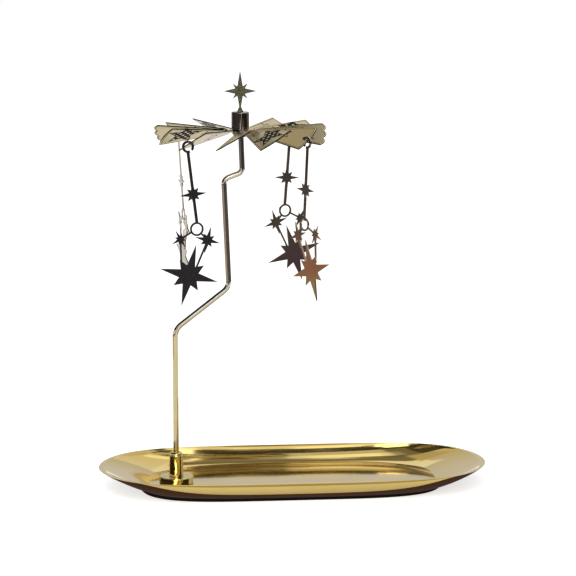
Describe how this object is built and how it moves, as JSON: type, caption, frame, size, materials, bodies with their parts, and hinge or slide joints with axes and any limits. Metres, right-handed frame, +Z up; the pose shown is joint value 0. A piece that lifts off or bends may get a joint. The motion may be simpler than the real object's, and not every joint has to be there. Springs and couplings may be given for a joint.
{
  "type": "candle carousel",
  "caption": "Candle carousel: an etched brass star wheel with hooked star pendants spins on a bent rod that rises from an oval tray for a tealight.",
  "frame": {"origin": "on the table, under the middle of the oval tray", "axes": "+Z up, +X along the tray's length away from the rod's post, +Y across the tray to the back"},
  "size_m": [0.155, 0.0702, 0.1646],
  "materials": {
    "polished_brass": "mirror polished, clear lacquered",
    "pale_brass": "polished, pale",
    "nickelled_brass": "bright nickel over brass",
    "steel": "turned"
  },
  "bodies": {
    "stand": {"tray": "polished_brass", "tray_screw": "steel", "base_flange": "polished_brass", "rod_socket": "polished_brass", "rod": "pale_brass"},
    "wheel": {"hub_cap": "nickelled_brass", "pivot_cup": "steel", "wheel_collar": "nickelled_brass", "star_wheel": "pale_brass", "finial_star": "nickelled_brass"},
    "pendant_1": {"star_pendant_1": "nickelled_brass"},
    "pendant_2": {"star_pendant_2": "nickelled_brass"},
    "pendant_3": {"star_pendant_3": "nickelled_brass"},
    "pendant_4": {"star_pendant_4": "nickelled_brass"}
  },
  "joints": [
    {"name": "wheel_spin", "type": "hinge", "parent": "stand", "child": "wheel", "pos_m": [-0.0207, 0, 0.1463], "axis": [0, 0, 1], "continuous": true},
    {"name": "pendant_1_swing", "type": "hinge", "parent": "wheel", "child": "pendant_1", "pos_m": [0.00338, -0.02107, 0.13822], "axis": [-0.8487, -0.5287, 0.0105], "range_deg": [-12, 30]},
    {"name": "pendant_2_swing", "type": "hinge", "parent": "wheel", "child": "pendant_2", "pos_m": [0.00091, 0.0236, 0.13815], "axis": [0.311, -0.9504, -0.0035], "range_deg": [-12, 30]},
    {"name": "pendant_3_swing", "type": "hinge", "parent": "wheel", "child": "pendant_3", "pos_m": [-0.04373, 0.02222, 0.13729], "axis": [0.9837, 0.1738, 0.0454], "range_deg": [-12, 30]},
    {"name": "pendant_4_swing", "type": "hinge", "parent": "wheel", "child": "pendant_4", "pos_m": [-0.04241, -0.02351, 0.13729], "axis": [-0.2192, 0.9751, -0.0332], "range_deg": [-12, 30]}
  ]
}
